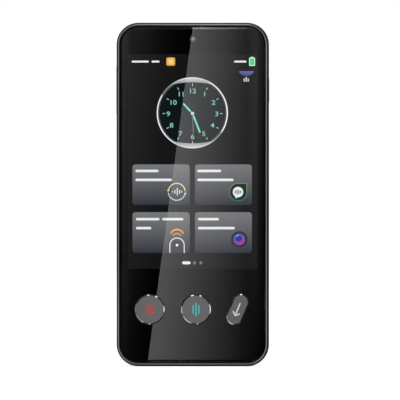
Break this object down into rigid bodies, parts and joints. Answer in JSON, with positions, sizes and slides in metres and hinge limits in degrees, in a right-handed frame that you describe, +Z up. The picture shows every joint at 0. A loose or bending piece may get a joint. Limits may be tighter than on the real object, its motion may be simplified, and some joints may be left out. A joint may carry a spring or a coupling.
{
  "type": "handheld translator",
  "caption": "Slim slab-shaped handheld translator with a touch screen, sprung talk and back keys below it, side keys and a rear camera.",
  "frame": {"origin": "middle of the lower end, on the surface it stands on", "axes": "+Z up the screen, the screen faces -Y, +X to the reader's right"},
  "size_m": [0.0618, 0.013, 0.1382],
  "materials": {
    "black_glass": "polished black-backed cover glass",
    "frame_metal": "dark anodised, satin, with a bright edge",
    "key_metal": "bead-blasted gray, with a cut rim",
    "cover_plastic": "fine matt moulded black",
    "black_plastic": "matt black",
    "plate_metal": "die-cast, satin",
    "screen": "display panel, dark when off",
    "backlight_foil": "silvered foil",
    "circuit_board": "green solder mask",
    "chip_plastic": "moulded black",
    "shield_steel": "tin-plated sheet",
    "screw_steel": "plain",
    "dome_steel": "spring steel",
    "lens_glass": "coated, polished",
    "bezel_metal": "turned and anodised",
    "flash_plastic": "translucent",
    "battery_pouch": "laminated foil pouch",
    "flex_film": "amber film",
    "foam": "soft foam",
    "speaker_cloth": "fine black mesh"
  },
  "bodies": {
    "housing": {"side_frame": "frame_metal", "cover_glass": "black_glass", "left_talk_dome": "dome_steel", "right_talk_dome": "dome_steel", "back_dome": "dome_steel", "key_bracket": "black_plastic", "key_board": "circuit_board", "lcd_panel": "screen", "backlight_unit": "backlight_foil", "display_flex": "flex_film", "front_camera": "chip_plastic", "mid_chassis": "plate_metal", "main_board": "circuit_board", "lower_board": "circuit_board", "processor_shield": "shield_steel", "processor_chip": "chip_plastic", "memory_chip": "chip_plastic", "radio_shield": "shield_steel", "radio_chip": "chip_plastic", "wifi_antenna": "flash_plastic", "top_microphone": "shield_steel", "bottom_microphone": "shield_steel", "power_switch": "chip_plastic", "volume_up_switch": "chip_plastic", "volume_down_switch": "chip_plastic", "rear_camera": "chip_plastic", "camera_bezel": "bezel_metal", "camera_glass": "lens_glass", "flash_led": "flash_plastic", "flash_window": "flash_plastic", "battery_cell": "battery_pouch", "battery_strip": "black_plastic", "battery_connector": "chip_plastic", "battery_lead": "flex_film", "link_flex": "flex_film", "upper_link_connector": "chip_plastic", "lower_link_connector": "chip_plastic", "key_flex": "flex_film", "usb_socket": "shield_steel", "usb_tongue": "black_plastic", "speaker_box": "black_plastic", "speaker_diaphragm": "black_plastic", "speaker_gasket": "foam", "speaker_mesh": "speaker_cloth", "board_screw_1": "screw_steel", "board_screw_2": "screw_steel", "board_screw_3": "screw_steel", "board_screw_4": "screw_steel", "board_screw_5": "screw_steel", "board_screw_6": "screw_steel", "rear_cover": "cover_plastic"},
    "left_talk": {"left_talk_key": "key_metal"},
    "right_talk": {"right_talk_key": "key_metal"},
    "back": {"back_key": "key_metal"},
    "power": {"power_key": "frame_metal"},
    "volume": {"volume_rocker": "frame_metal"}
  },
  "joints": [
    {"name": "left_talk_press", "type": "slide", "parent": "housing", "child": "left_talk", "axis": [0, 1, 0], "range_m": [0, 0.00025], "stiffness_N_per_m": 4000},
    {"name": "right_talk_press", "type": "slide", "parent": "housing", "child": "right_talk", "axis": [0, 1, 0], "range_m": [0, 0.00025], "stiffness_N_per_m": 4000},
    {"name": "back_press", "type": "slide", "parent": "housing", "child": "back", "axis": [0, 1, 0], "range_m": [0, 0.00025], "stiffness_N_per_m": 4000},
    {"name": "power_press", "type": "slide", "parent": "housing", "child": "power", "axis": [-1, 0, 0], "range_m": [0, 0.00025], "stiffness_N_per_m": 4000},
    {"name": "volume_rock", "type": "hinge", "parent": "housing", "child": "volume", "pos_m": [-0.02755, 0.00115, 0.1112], "axis": [0, 1, 0], "range_deg": [-1.2, 1.2], "stiffness_Nm_per_rad": 0.4}
  ]
}
